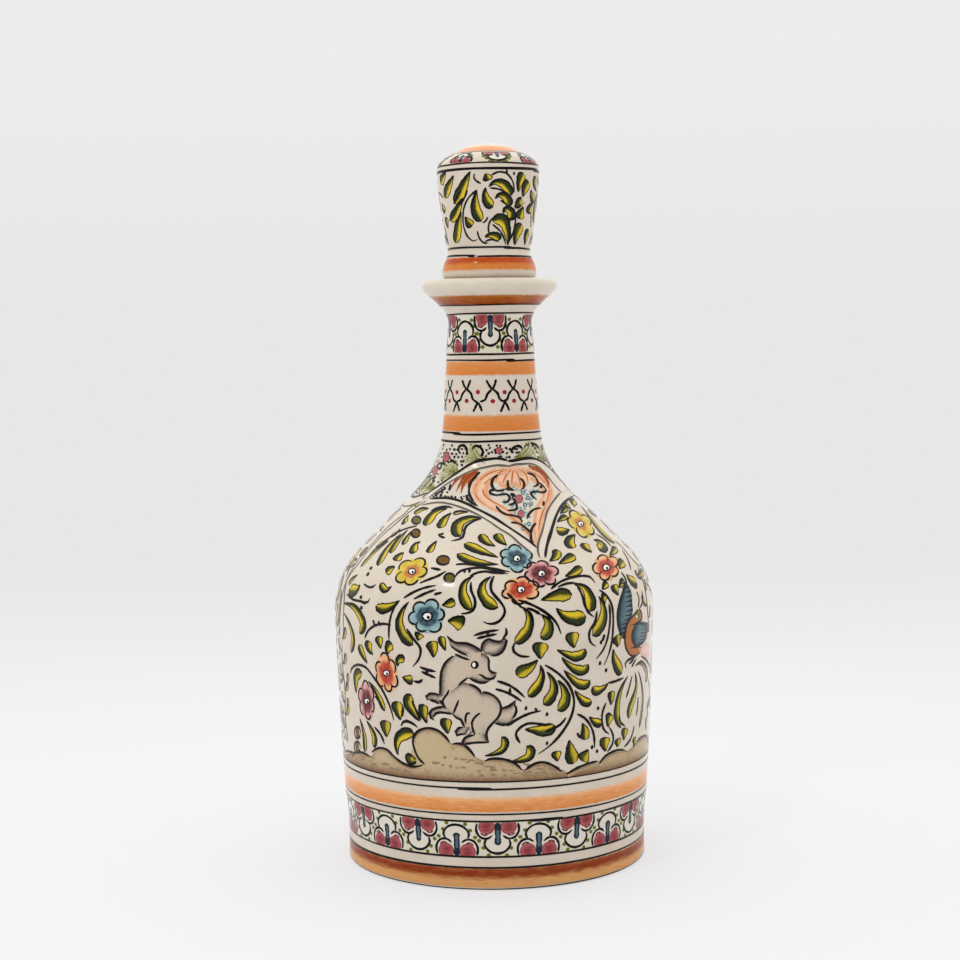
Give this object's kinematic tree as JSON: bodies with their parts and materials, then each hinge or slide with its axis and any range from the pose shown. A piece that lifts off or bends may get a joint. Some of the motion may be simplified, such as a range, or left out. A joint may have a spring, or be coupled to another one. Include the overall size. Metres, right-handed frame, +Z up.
{
  "type": "stoppered ceramic carafe",
  "caption": "Glazed earthenware table carafe: broad body, sloping shoulder, slim neck with a wide flat lip, and a lift-out stopper sealed by a cork ring.",
  "frame": {"origin": "on the turning axis, in the plane that the foot ring stands on", "axes": "+Z up along the turning axis, from the foot ring to the stopper's crown; the part is round, so +X and +Y are free"},
  "size_m": [0.1258, 0.1258, 0.28],
  "materials": {
    "glazed_earthenware": "glossy cream tin glaze",
    "cork": "natural cork"
  },
  "bodies": {
    "bottle": {"bottle": "glazed_earthenware"},
    "stopper": {"stopper": "glazed_earthenware", "stopper_cork": "cork"}
  },
  "joints": [
    {"name": "stopper_lift", "type": "slide", "parent": "bottle", "child": "stopper", "axis": [0, 0, 1], "range_m": [0, 0.04]}
  ]
}
